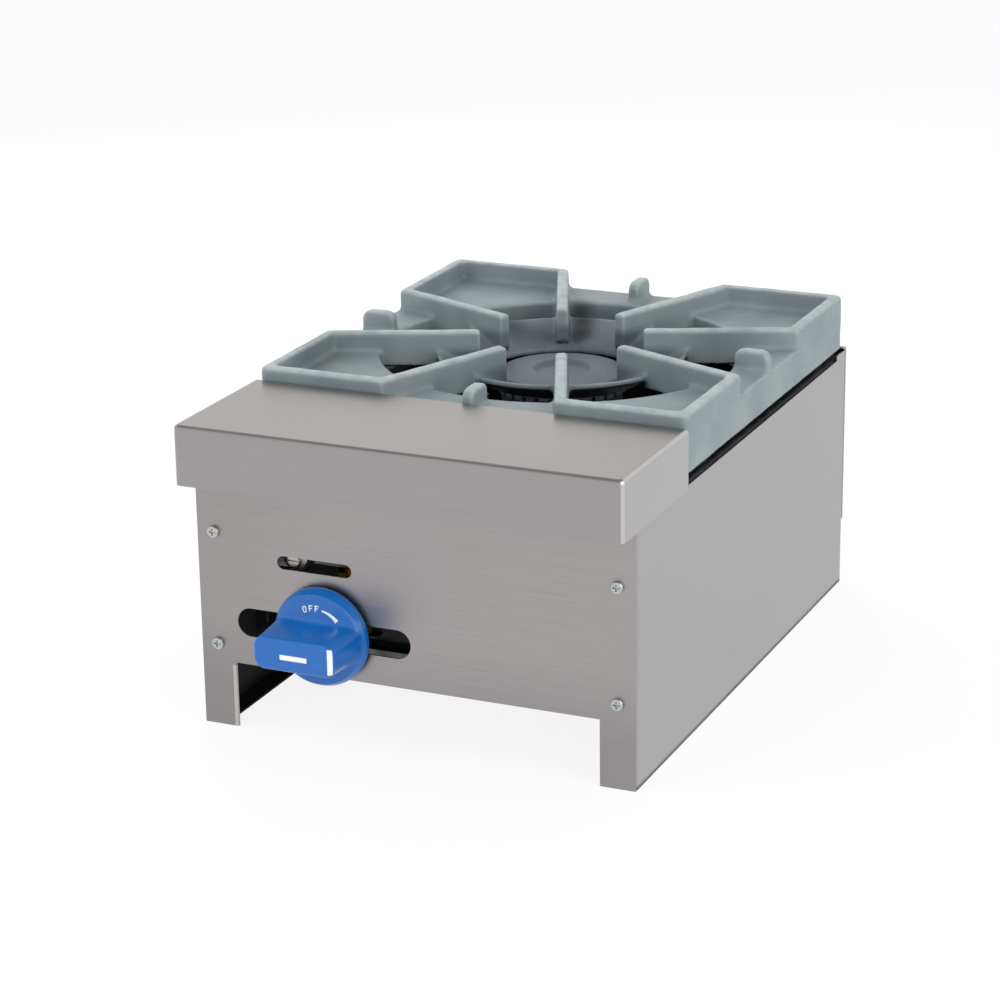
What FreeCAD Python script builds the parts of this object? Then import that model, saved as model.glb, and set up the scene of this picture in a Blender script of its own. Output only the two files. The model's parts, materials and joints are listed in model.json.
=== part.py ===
import FreeCAD, Part
import math
import os

# Countertop gas hotplate with one burner. Millimetres, X to the right, Y to the back, Z up.
# The origin is on the counter, in the middle of the body's footprint.

# Sheet-metal body
body_width = 304.0
body_depth = 413.0
side_height = 173.0
sheet = 1.2
bend_radius = 1.3
foot_flange = 14.0
leg_width = 24.0
panel_gap = 45.0
rear_flange = 20.0
rear_rise = 6.0
rear_return = 6.0
rear_panel_drop = 48.0
fit_gap = 0.3

# Front ledge
ledge_overhang = 24.0
ledge_depth = 110.0
ledge_lip = 40.0
ledge_lap = 2.0
ledge_corner = 4.5
ledge_edge = 3.0
ledge_return = 12.0

# Heat baffle between the controls and the burner
baffle_tab = 14.0
baffle_gap = 4.0

# Screws that hold the sheets
screw_radius = 2.1
screw_hole_gap = 0.25
screw_head_radius = 4.2
screw_head_height = 2.4
screw_recess = 1.3
screw_recess_width = 1.1
screw_crown_share = 0.45
screw_recess_share = 0.55
screw_length = 9.0
front_screw_low = 57.0
front_screw_high = 134.0
rear_screw_low = 65.0
rear_screw_high = 150.0
ledge_screw_spread = 100.0
ledge_screw_drop = 18.0
ledge_screw_tip = 1.0

# Grate rails and grate
rail_leg = 25.0
rail_shelf = 24.0
rail_sheet = 2.5
rail_lift = 1.0
grate_side_gap = 0.5
grate_front_gap = 3.0
grate_rear_gap = 6.8
grate_foot_height = 4.6
grate_foot_length = 18.0
grate_foot_width = 14.0
grate_foot_inset = 32.0
grate_foot_margin = 4.0
grate_frame_height = 26.4
grate_rise = 14.0
grate_band = 26.0
grate_wall = 7.0
grate_floor = 6.0
grate_rim = 8.0
grate_corner = 5.0
grate_inner_corner = 4.0
grate_edge = 2.5
rib_count = 8
rib_base_width = 10.5
rib_top_width = 8.5
rib_depth = 25.0
rib_inner_radius = 56.0
rib_crown = 1.6
finger_length = 25.0
finger_width = 8.5
finger_round = 6.0
bowl_hole_radius = 55.0
bowl_outer_radius = 86.0
bowl_drop = 20.0
bowl_wall = 5.0

# Control: valve, stem and knob
valve_inset = 90.5
valve_z = 74.5
valve_slot_length = 124.0
valve_slot_height = 19.5
valve_slot_shift = 1.5
valve_radius = 12.5
valve_front_length = 20.0
valve_rear_length = 16.0
plug_radius = 7.0
plug_front_gap = 1.0
plug_rear_wall = 6.0
gas_way_radius = 3.0
stem_radius = 4.0
stem_flat = 1.2
run_gap = 0.06
bonnet_thickness = 3.0
bonnet_screw_spread = 15.0
bonnet_screw_radius = 1.5
bonnet_screw_length = 6.0
bonnet_screw_head = 1.9
valve_ear = 5.0
neck_radius = 6.5
neck_hex = 10.0
neck_hex_height = 8.0
neck_hex_gap = 1.2
hood_radius = 8.0
hood_length = 24.0
hood_tip_radius = 5.0
hood_tip_length = 5.0
hood_wall = 2.5
orifice_radius = 0.8
hood_thread_radius = 5.5
hood_thread_length = 6.0
knob_radius = 33.0
knob_gap = 3.0
knob_skirt = 9.0
knob_band = 4.0
knob_crown = 4.0
knob_wall = 2.6
knob_height = 42.0
knob_hub_radius = 9.0
knob_hub_depth = 24.0
grip_length = 62.0
grip_width = 24.0
grip_end_taper = 2.5
grip_side_taper = 1.0
grip_corner = 7.5
grip_sink = 3.6
grip_edge = 2.4

# Gas pipes
pipe_radius = 13.335
pipe_wall = 2.9
manifold_drop = 54.0
manifold_setback = 42.0
manifold_end_inset = 34.0
inlet_side_gap = 6.0
inlet_reach = 45.0
inlet_thread_radius = 13.0
inlet_thread_length = 20.0
inlet_hole_gap = 0.6
fitting_wall = 4.5
fitting_overlap = 13.0
thread_gap = 0.05
elbow_bend = 22.0
elbow_arc = 20.0
elbow_wall = 3.3
bracket_sheet = 3.0
bracket_rim = 6.0
bracket_tab = 16.0
bracket_inset = 6.0
bracket_screw_spread = 24.0

# Burner
burner_head_radius = 42.0
burner_head_height = 27.0
burner_head_rim = 13.0
burner_wall = 4.0
burner_drop = 13.0
cap_radius = 45.0
cap_height = 15.0
cap_crown = 2.0
cap_recess_radius = 17.0
cap_recess = 3.0
cap_seat = 5.0
cap_seat_gap = 0.4
port_count = 28
port_width = 2.4
port_depth = 8.0
port_height = 4.0
venturi_radius = 18.0
venturi_wall = 4.0
venturi_bend = 44.0
venturi_turn = 70.0
venturi_run = 80.0
mouth_lead = 14.0
mouth_plate = 4.0
mouth_radius = 27.0
mouth_collar = 11.5
mouth_collar_length = 5.0
hood_gap = 1.2
air_port_inner = 14.0
air_port_outer = 23.0
air_port_angle = 70.0
shutter_thickness = 1.5
shutter_gap = 0.2
shutter_tab = 9.0
shutter_tab_width = 10.0
baffle_hole_gap = 1.5
crossbar_width = 34.0
crossbar_thickness = 2.5
crossbar_tab = 24.0
crossbar_bend = 2.0
pad_radius = 11.0
pad_height = 4.0
bolt_radius = 4.0
bolt_length = 12.0
bolt_head = 5.0
bolt_head_width = 13.0

# Pilot light
pilot_side_gap = 1.64
pilot_slot_offset = 18.0
pilot_slot_length = 53.0
pilot_slot_height = 9.0
pilot_valve_radius = 7.5
pilot_valve_length = 20.0
pilot_valve_shoulder = 1.2
pilot_boss_radius = 5.8
pilot_screw_radius = 2.6
pilot_screw_head = 4.0
pilot_screw_reach = 3.0
pilot_screw_depth = 12.0
pilot_screw_slot = 1.2
pilot_tube_radius = 3.2
pilot_tube_wall = 0.8
pilot_tube_bend = 11.0
pilot_tube_seat = 4.0
pilot_reach = 58.0
pilot_angle = -140.0
pilot_radius = 5.0
pilot_height = 20.0
pilot_rise = 1.0
pilot_bore = 1.5
pilot_bracket_width = 14.0
pilot_bracket_thickness = 2.0
pilot_bracket_lift = 6.0

# Drip tray and its runners
tray_side_gap = 8.0
tray_height = 20.0
tray_sheet = 1.0
tray_setback = 82.0
tray_rear_gap = 10.0
tray_lip = 7.0
runner_top = 16.0
runner_leg = 16.0
runner_overlap = 10.0

# Places worked out from the sizes above
half_width = body_width / 2
front_y = -body_depth / 2
back_y = body_depth / 2
inner_x = half_width - sheet
ledge_front_y = front_y - ledge_overhang
ledge_back_y = ledge_front_y + ledge_depth
ledge_bottom = side_height - ledge_lap
ledge_top = ledge_bottom + ledge_lip
ledge_half = half_width + fit_gap + sheet
under_ledge = ledge_top - ledge_edge
baffle_y = ledge_back_y - sheet
rear_top = side_height + rear_rise
rail_top = side_height + rail_lift
grate_bottom = rail_top + grate_foot_height
grate_deck = grate_bottom + grate_frame_height
grate_top = grate_deck + grate_rise
grate_half_x = half_width - grate_side_gap
grate_front_y = ledge_back_y + grate_front_gap
grate_back_y = back_y - sheet - grate_rear_gap
grate_half_y = (grate_back_y - grate_front_y) / 2
center_y = (grate_back_y + grate_front_y) / 2
grate_hole_radius = min(grate_half_x, grate_half_y) - grate_band
valve_x = -half_width + valve_inset
manifold_y = front_y + manifold_setback
manifold_z = side_height - manifold_drop
manifold_left = -inner_x + manifold_end_inset
inlet_x = half_width - rear_flange - pipe_radius - inlet_side_gap
left_bracket_x = manifold_left + fitting_overlap + bracket_inset
right_bracket_x = inlet_x - elbow_bend - fitting_overlap - bracket_inset
cap_top = grate_bottom + grate_frame_height - burner_drop
head_top = cap_top - cap_height
head_bottom = head_top - burner_head_height
valve_back_y = manifold_y + valve_rear_length
hood_end_y = valve_back_y + hood_length
mouth_y = hood_end_y - mouth_lead + hood_tip_length
bonnet_front_y = manifold_y - valve_front_length - bonnet_thickness
knob_base_y = front_y - knob_gap
crossbar_top = valve_z - venturi_radius - pad_height
pilot_valve_corner = pilot_valve_radius * 2 / math.sqrt(3)
pilot_x = left_bracket_x + bracket_sheet / 2 + pilot_valve_corner + pilot_side_gap
pilot_slot_x = pilot_x + pilot_slot_offset
pilot_front_y = manifold_y - pipe_radius - pilot_valve_length
pilot_boss_y = pilot_front_y + pilot_screw_depth
pilot_boss_top = manifold_z + pilot_valve_radius + pilot_tube_seat * 2
pilot_base_z = head_top + pilot_rise - pilot_height
pilot_tube_z = pilot_base_z - pilot_tube_bend
pilot_place_x = pilot_reach * math.cos(math.radians(pilot_angle))
pilot_place_y = center_y + pilot_reach * math.sin(math.radians(pilot_angle))
tray_top = runner_top + tray_height
tray_half = half_width - leg_width - tray_side_gap
tray_front_y = front_y + tray_setback
tray_back_y = back_y - sheet - tray_rear_gap


def vec(x, y, z):
    return FreeCAD.Vector(x, y, z)


def box(x0, x1, y0, y1, z0, z1):
    return Part.makeBox(x1 - x0, y1 - y0, z1 - z0, vec(x0, y0, z0))


def rod(radius, start, end):
    way = end - start
    return Part.makeCylinder(radius, way.Length, start, way)


def rod_x(radius, y, z, x0, x1):
    return rod(radius, vec(x0, y, z), vec(x1, y, z))


def rod_y(radius, x, z, y0, y1):
    return rod(radius, vec(x, y0, z), vec(x, y1, z))


def rod_z(radius, x, y, z0, z1):
    return rod(radius, vec(x, y, z0), vec(x, y, z1))


def tube_x(outer, inner, y, z, x0, x1):
    return rod_x(outer, y, z, x0, x1).cut(rod_x(inner, y, z, x0, x1))


def tube_y(outer, inner, x, z, y0, y1):
    return rod_y(outer, x, z, y0, y1).cut(rod_y(inner, x, z, y0, y1))


def hexagon(across, start, end):
    """Hexagonal bar, with its size across the flats, between two points."""
    way = end - start
    side = vec(1, 0, 0) if abs(way.x) < way.Length / 2 else vec(0, 0, 1)
    other = way.cross(side).normalize()
    radius = across / math.sqrt(3)
    turns = [math.radians(60 * i) for i in range(7)]
    points = [start + side * (radius * math.cos(a)) + other * (radius * math.sin(a)) for a in turns]
    return Part.Face(Part.makePolygon(points)).extrude(way)


def revolve(points):
    """Solid of revolution about Z, from radius and height pairs."""
    corners = [vec(r, 0, z) for r, z in points]
    face = Part.Face(Part.makePolygon(corners + corners[:1]))
    return face.revolve(vec(0, 0, 0), vec(0, 0, 1), 360)


def union(first, *others):
    return first.fuse(list(others)).removeSplitter() if others else first


def rounded_box(x0, x1, y0, y1, z0, z1, radius):
    """Box with its four upright edges rounded."""
    solid = box(x0, x1, y0, y1, z0, z1)
    upright = [e for e in solid.Edges if abs(e.tangentAt(e.FirstParameter).z) > 0.9]
    return solid.makeFillet(radius, upright)


def flat_edges_at(solid, z):
    """Level edges of a solid at one height."""
    return [e for e in solid.Edges if abs(e.BoundBox.ZMin - z) < 1e-6 and e.BoundBox.ZLength < 1e-6]


def round_slot(x, z, length, height, y0, y1):
    """Slot with round ends, along X, cut through in Y."""
    reach = (length - height) / 2
    ends = [rod_y(height / 2, x + s * reach, z, y0, y1) for s in (-1, 1)]
    middle = box(x - reach, x + reach, y0, y1, z - height / 2, z + height / 2)
    return middle.fuse(ends)


def rounded_path(points, radii):
    """Edges through points, with a tangent arc of its own radius at each inner corner."""
    edges = []
    last = points[0]
    for before, corner, after, radius in zip(points, points[1:], points[2:], radii):
        inward = (corner - before).normalize()
        outward = (after - corner).normalize()
        turn = inward.getAngle(outward)
        if turn < 0.001:
            continue
        reach = radius * math.tan(turn / 2)
        start = corner - inward * reach
        end = corner + outward * reach
        middle = (outward - inward).normalize()
        bulge = corner + middle * (radius / math.cos(turn / 2) - radius)
        edges.append(Part.makeLine(last, start))
        edges.append(Part.Arc(start, bulge, end).toShape())
        last = end
    edges.append(Part.makeLine(last, points[-1]))
    return edges


def swept_rod(radius, edges):
    """Round bar along a path of straight runs and tangent arcs."""
    start = edges[0].Vertexes[0].Point
    way = edges[0].tangentAt(edges[0].FirstParameter)
    ring = Part.Wire(Part.makeCircle(radius, start, way))
    return Part.Wire(edges).makePipeShell([ring], True, False)


def bent_sheet(points, thickness, inside, place, way):
    """Folded sheet. The points run along one face, and the sheet lies to the left of their way."""
    flat = [vec(u, v, 0) for u, v in points]
    steps = [(b - a).normalize() for a, b in zip(flat, flat[1:])]
    sides = [vec(-s.y, s.x, 0) * thickness for s in steps]
    shifted = [flat[0] + sides[0]]
    face_radii = []
    back_radii = []
    for i in range(1, len(steps)):
        turn = steps[i - 1].x * steps[i].y - steps[i - 1].y * steps[i].x
        half = (sides[i - 1] + sides[i]) * 0.5
        shifted.append(flat[i] + half * (thickness ** 2 / half.Length ** 2))
        face_radii.append(inside + thickness if turn > 0 else inside)
        back_radii.append(inside if turn > 0 else inside + thickness)
    shifted.append(flat[-1] + sides[-1])
    edges = rounded_path(flat, face_radii)
    edges.append(Part.makeLine(flat[-1], shifted[-1]))
    edges += rounded_path(shifted[::-1], back_radii[::-1])
    edges.append(Part.makeLine(shifted[0], flat[0]))
    face = Part.Face(Part.Wire(Part.__sortEdges__(edges)))
    face.Placement = place
    return face.extrude(way)


# Sheet outlines are drawn in plan, or upright across X, or upright along Y.
in_plan = FreeCAD.Placement()
across_x = FreeCAD.Placement(vec(0, 0, 0), FreeCAD.Rotation(vec(1, 0, 0), 90))
along_y = FreeCAD.Placement(vec(0, 0, 0), FreeCAD.Rotation(vec(1, 1, 1), 120))


def raised(z):
    return FreeCAD.Placement(vec(0, 0, z), FreeCAD.Rotation())


def pan_screw(radius, head_radius, head_height, length, seat, way):
    """Pan-head screw with a cross recess. The head stands on its seat, and the shank runs along way."""
    crown = head_height * screw_crown_share
    shank = Part.makeCylinder(radius, length, vec(0, 0, -length))
    head = Part.makeCylinder(head_radius, head_height)
    head = head.makeFillet(crown, flat_edges_at(head, head_height))
    arm = head_radius * screw_recess_share
    blade = screw_recess_width / 2
    top = head_height - screw_recess
    cross = box(-arm, arm, -blade, blade, top, head_height)
    cross = cross.fuse(box(-blade, blade, -arm, arm, top, head_height))
    screw = union(head.cut(cross), shank)
    screw.Placement = FreeCAD.Placement(seat, FreeCAD.Rotation(vec(0, 0, -1), way))
    return screw


def sheet_screw(seat, way, length):
    return pan_screw(screw_radius, screw_head_radius, screw_head_height, length, seat, way)


def mirror_x(shape):
    return shape.mirror(vec(0, 0, 0), vec(1, 0, 0))


def front_screw_places():
    return [(s * (half_width - leg_width / 2), z)
            for s in (-1, 1) for z in (front_screw_low, front_screw_high)]


def rear_screw_places():
    inset = sheet + rear_flange / 2
    return [(s * (half_width - inset), z) for s in (-1, 1) for z in (rear_screw_low, rear_screw_high)]


def screw_holes(places, y0, y1):
    radius = screw_radius + screw_hole_gap
    return [rod_y(radius, x, z, y0, y1) for x, z in places]


def right_side_panel():
    """Side sheet with flanges at the front, back and bottom, and ears for the ledge and rear edge."""
    front = front_y + sheet
    back = back_y - sheet
    outline = [(half_width - leg_width, front), (half_width, front),
               (half_width, back), (half_width - rear_flange, back)]
    tallest = max(ledge_top, rear_top)
    panel = bent_sheet(outline, sheet, bend_radius, in_plan, vec(0, 0, tallest))
    ear_back = baffle_y - fit_gap
    rear_ear = back_y - sheet - rear_flange
    past = half_width + sheet
    panel = panel.cut([box(0, past, ledge_front_y, ear_back, under_ledge, tallest + sheet),
                       box(0, past, ear_back, rear_ear, side_height, tallest + sheet),
                       box(0, past, rear_ear, back_y, rear_top - sheet - bend_radius, tallest + sheet)])
    foot = box(inner_x - foot_flange, inner_x, front + sheet, back - sheet, 0, sheet)
    holes = screw_holes(front_screw_places() + rear_screw_places(), front_y, back_y)
    return union(panel, foot).cut(holes)


def front_panel():
    """Front sheet with two legs, the long valve slot, the pilot slot and screw holes."""
    behind = front_y + sheet
    panel = box(-half_width, half_width, front_y, behind, 0, under_ledge)
    opening = half_width - leg_width
    cuts = [box(-opening, opening, front_y, behind, 0, panel_gap),
            round_slot(valve_x - valve_slot_shift, valve_z, valve_slot_length, valve_slot_height,
                       front_y, behind),
            round_slot(pilot_slot_x, manifold_z, pilot_slot_length, pilot_slot_height, front_y, behind)]
    return panel.cut(cuts + screw_holes(front_screw_places(), front_y, behind))


def ledge_screw_places():
    z = ledge_top - ledge_screw_drop
    return [(x, z) for x in (-ledge_screw_spread, 0, ledge_screw_spread)]


def front_ledge():
    """Polished cap over the controls: top, lip on three sides, return under the lip, flange at the back."""
    outer = box(-ledge_half, ledge_half, ledge_front_y, ledge_back_y, ledge_bottom, ledge_top)
    inner = box(-ledge_half + sheet, ledge_half - sheet, ledge_front_y + sheet, ledge_back_y - sheet,
                ledge_bottom - sheet, ledge_top - sheet)

    def soften(block, inset):
        front = ledge_front_y + inset
        upright = [e for e in block.Edges if e.BoundBox.YMax < front + 1e-6 and e.BoundBox.ZLength > sheet]
        block = block.makeFillet(ledge_corner - inset, upright)
        middle_y = (ledge_front_y + ledge_back_y) / 2
        rims = [e for e in flat_edges_at(block, ledge_top - inset) if e.BoundBox.YMin < middle_y]
        return block.makeFillet(ledge_edge - inset, rims)

    outer = soften(outer, 0)
    inner = soften(inner, sheet)
    back_trim = box(-ledge_half, ledge_half, ledge_back_y - sheet, ledge_back_y,
                    ledge_bottom, side_height + rail_lift)
    lip_back = ledge_front_y + sheet + ledge_return
    underside = box(-half_width + ledge_corner, half_width - ledge_corner, ledge_front_y + sheet, lip_back,
                    ledge_bottom, ledge_bottom + sheet)
    holes = screw_holes(ledge_screw_places(), baffle_y, ledge_back_y)
    return union(outer.cut(inner).cut(back_trim), underside).cut(holes)


def rear_panel():
    """Rear sheet with a return along its top edge and the hole for the gas inlet."""
    outline = [(back_y, rear_panel_drop), (back_y, rear_top), (back_y - rear_return, rear_top)]
    place = FreeCAD.Placement(vec(-half_width, 0, 0), along_y.Rotation)
    panel = bent_sheet(outline, sheet, bend_radius, place, vec(body_width, 0, 0))
    inlet = rod_y(pipe_radius + inlet_hole_gap, inlet_x, manifold_z, back_y - sheet * 2, back_y + sheet)
    return panel.cut([inlet] + screw_holes(rear_screw_places(), back_y - sheet, back_y))


def bracket_places():
    spread = bracket_screw_spread / 2
    return [(x, [(x + bracket_tab / 2, manifold_z + s * spread) for s in (-1, 1)])
            for x in (left_bracket_x, right_bracket_x)]


def bracket_screw_places():
    return [place for x, places in bracket_places() for place in places]


def heat_baffle():
    """Upright sheet behind the controls, with tabs on the side panels and holes for what passes through."""
    bottom = tray_top + baffle_gap
    outline = [(inner_x, baffle_y - baffle_tab), (inner_x, baffle_y),
               (-inner_x, baffle_y), (-inner_x, baffle_y - baffle_tab)]
    wall = bent_sheet(outline, sheet, bend_radius, raised(bottom), vec(0, 0, under_ledge - bottom))
    near = baffle_y - sheet * 2
    far = baffle_y + sheet
    cuts = [rod_y(mouth_radius + baffle_hole_gap, valve_x, valve_z, near, far),
            rod_y(pipe_radius + inlet_hole_gap, inlet_x, manifold_z, near, far),
            rod_y(pilot_tube_radius + fit_gap, pilot_x, pilot_tube_z, near, far)]
    return wall.cut(cuts + screw_holes(ledge_screw_places() + bracket_screw_places(), near, far))


def right_grate_rail():
    """Angle bar on the inside of the side panel, with a shelf for the grate's feet."""
    outline = [(inner_x, rail_top - rail_leg), (inner_x, rail_top), (inner_x - rail_shelf, rail_top)]
    start = ledge_back_y + grate_front_gap
    length = back_y - sheet * 2 - bend_radius - fit_gap - start
    place = FreeCAD.Placement(vec(0, start, 0), across_x.Rotation)
    return bent_sheet(outline, rail_sheet, bend_radius, place, vec(0, length, 0))


def right_tray_runner():
    """Angle bar on the inside of the side panel, with a shelf for the tray's edge."""
    shelf = tray_half - runner_overlap
    low = runner_top - sheet
    outline = [(shelf, low), (inner_x, low), (inner_x, runner_top + runner_leg)]
    length = tray_back_y - tray_front_y
    place = FreeCAD.Placement(vec(0, tray_front_y, 0), across_x.Rotation)
    return bent_sheet(outline, sheet, bend_radius, place, vec(0, length, 0))


def drip_tray():
    """Shallow pan with a turned lip at the front to pull it by."""
    half = tray_half
    inside = tray_half - tray_sheet
    pan = box(-half, half, tray_front_y, tray_back_y, runner_top, tray_top)
    hollow = box(-inside, inside, tray_front_y + tray_sheet, tray_back_y - tray_sheet,
                 runner_top + tray_sheet, tray_top)
    lip_y = tray_front_y - tray_lip
    lip = box(-half, half, lip_y, tray_front_y, tray_top - tray_sheet, tray_top)
    drop = box(-half, half, lip_y, lip_y + tray_sheet, tray_top - tray_lip, tray_top)
    return union(pan.cut(hollow), lip, drop)


def venturi_points():
    bend_y = center_y - venturi_run
    return [vec(valve_x, mouth_y, valve_z), vec(valve_x, bend_y, valve_z),
            vec(0, center_y, valve_z), vec(0, center_y, head_bottom + burner_wall)]


def pad_place():
    """Point on the mixing tube's axis above the crossbar, where its last straight run ends."""
    points = venturi_points()
    run = (points[2] - points[1]).normalize()
    return points[2] - run * venturi_bend


def burner_crossbar():
    """Flat bar across the body under the burner, with its ends turned up along the side panels."""
    place_y = pad_place().y - crossbar_width / 2
    low = crossbar_top - crossbar_thickness
    high = low + crossbar_tab
    outline = [(-inner_x, high), (-inner_x, low), (inner_x, low), (inner_x, high)]
    place = FreeCAD.Placement(vec(0, place_y, 0), across_x.Rotation)
    bar = bent_sheet(outline, crossbar_thickness, crossbar_bend, place, vec(0, crossbar_width, 0))
    pad = pad_place()
    hole = rod_z(bolt_radius + screw_hole_gap, pad.x, pad.y, low - sheet, low + crossbar_tab)
    return bar.cut(hole)


def burner_bolt():
    """Bolt from below through the crossbar into the burner's pad."""
    pad = pad_place()
    low = crossbar_top - crossbar_thickness
    shank = rod_z(bolt_radius, pad.x, pad.y, low, low + bolt_length)
    head = hexagon(bolt_head_width, vec(pad.x, pad.y, low - bolt_head), vec(pad.x, pad.y, low))
    return union(shank, head)


def air_ports(y0, y1):
    """Two openings, each a part of a ring, cut through a plate that faces the valve."""
    cuts = []
    for turn in (0, 180):
        ring = Part.makeCylinder(air_port_outer, y1 - y0, vec(0, 0, 0), vec(0, 0, 1), air_port_angle)
        core = Part.makeCylinder(air_port_inner, y1 - y0, vec(0, 0, 0), vec(0, 0, 1), air_port_angle)
        port = ring.cut(core)
        port.rotate(vec(0, 0, 0), vec(0, 0, 1), turn - air_port_angle / 2)
        port.rotate(vec(0, 0, 0), vec(1, 0, 0), -90)
        port.translate(vec(valve_x, y0, valve_z))
        cuts.append(port)
    return cuts


def burner_casting():
    """Cast burner in one piece: mouth plate, mixing tube, bowl-shaped head and the pad it stands on."""
    edges = rounded_path(venturi_points(), [venturi_turn, venturi_bend])
    bore_radius = venturi_radius - venturi_wall
    pipe = swept_rod(venturi_radius, edges)
    bore = swept_rod(bore_radius, edges)
    inside = burner_head_radius - burner_wall
    bell_low = head_top - burner_head_rim
    head_floor = head_bottom + burner_wall
    head = revolve([(0, head_bottom), (venturi_radius + burner_wall, head_bottom),
                    (burner_head_radius, bell_low), (burner_head_radius, head_top), (0, head_top)])
    room = revolve([(0, head_floor), (venturi_radius, head_floor),
                    (inside, bell_low + burner_wall), (inside, head_top), (0, head_top)])
    head.translate(vec(0, center_y, 0))
    room.translate(vec(0, center_y, 0))
    plate_back = mouth_y + mouth_plate
    mouth_back = mouth_y + mouth_lead
    collar_front = mouth_y - mouth_collar_length
    flare_length = mouth_back - plate_back
    flare_start = vec(valve_x, plate_back, valve_z)
    plate = rod_y(mouth_radius, valve_x, valve_z, mouth_y, plate_back)
    flare = Part.makeCone(mouth_radius, venturi_radius, flare_length, flare_start, vec(0, 1, 0))
    flare_room = Part.makeCone(air_port_outer, bore_radius, flare_length, flare_start, vec(0, 1, 0))
    collar = rod_y(mouth_collar, valve_x, valve_z, collar_front, plate_back)
    collar_bore = rod_y(hood_radius + hood_gap, valve_x, valve_z, collar_front, plate_back)
    pad = pad_place()
    stand = rod_z(pad_radius, pad.x, pad.y, crossbar_top, valve_z)
    bolt_end = crossbar_top - crossbar_thickness + bolt_length
    threaded = rod_z(bolt_radius + thread_gap, pad.x, pad.y, crossbar_top, bolt_end + fit_gap)
    casting = pipe.fuse([head, plate, flare, collar, stand])
    casting = casting.cut([bore.cut(plate), flare_room, room, collar_bore, threaded])
    return casting.cut(air_ports(mouth_y, plate_back))


def air_shutter():
    """Disc with two openings that turns on the collar to set how much air the burner draws in."""
    back = mouth_y - shutter_gap
    front = back - shutter_thickness
    disc = tube_y(mouth_radius, mouth_collar + run_gap, valve_x, valve_z, front, back)
    half = shutter_tab_width / 2
    low = valve_z - mouth_radius + shutter_thickness
    tab = box(valve_x - half, valve_x + half, front - shutter_tab, front, low, low + shutter_thickness)
    return union(disc, tab).cut(air_ports(front, back))


def burner_cap():
    """Lift-off cap with a ring of flame ports, a dished top and a skirt that locates it in the head."""
    locate = burner_head_radius - burner_wall - cap_seat_gap
    top = cap_height
    dish = top - cap_recess
    underside = [(0, 0), (locate - burner_wall, 0), (locate - burner_wall, -cap_seat),
                 (locate, -cap_seat), (locate, 0), (cap_radius, 0)]
    upper = [(cap_radius, top - cap_crown * 2), (cap_radius - cap_crown, top - cap_crown),
             (cap_recess_radius + cap_recess, top), (cap_recess_radius, dish), (0, dish)]
    cap = revolve(underside + upper)
    cuts = []
    for i in range(port_count):
        port = box(cap_radius - port_depth, cap_radius, -port_width / 2, port_width / 2, 0, port_height)
        port.rotate(vec(0, 0, 0), vec(0, 0, 1), 360 * i / port_count)
        cuts.append(port)
    cap = cap.cut(cuts)
    cap.translate(vec(0, center_y, head_top))
    return cap


def grate_outline(inset, z0, z1):
    half = grate_half_x - inset
    corner = grate_inner_corner if inset else grate_corner
    return rounded_box(-half, half, grate_front_y + inset, grate_back_y - inset, z0, z1, corner)


def rib(length):
    """Rib with a little draft and a rounded crown, along X from the rib circle."""
    base = rib_base_width / 2
    top = rib_top_width / 2
    low = grate_top - rib_depth
    corners = [(-base, low), (base, low), (top, grate_top), (-top, grate_top)]
    points = [vec(rib_inner_radius, u, v) for u, v in corners]
    bar = Part.Face(Part.makePolygon(points + points[:1])).extrude(vec(length, 0, 0))
    crown = [e for e in bar.Edges if e.BoundBox.ZMin > grate_top - 1e-6]
    return bar.makeFillet(rib_crown, crown)


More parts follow.
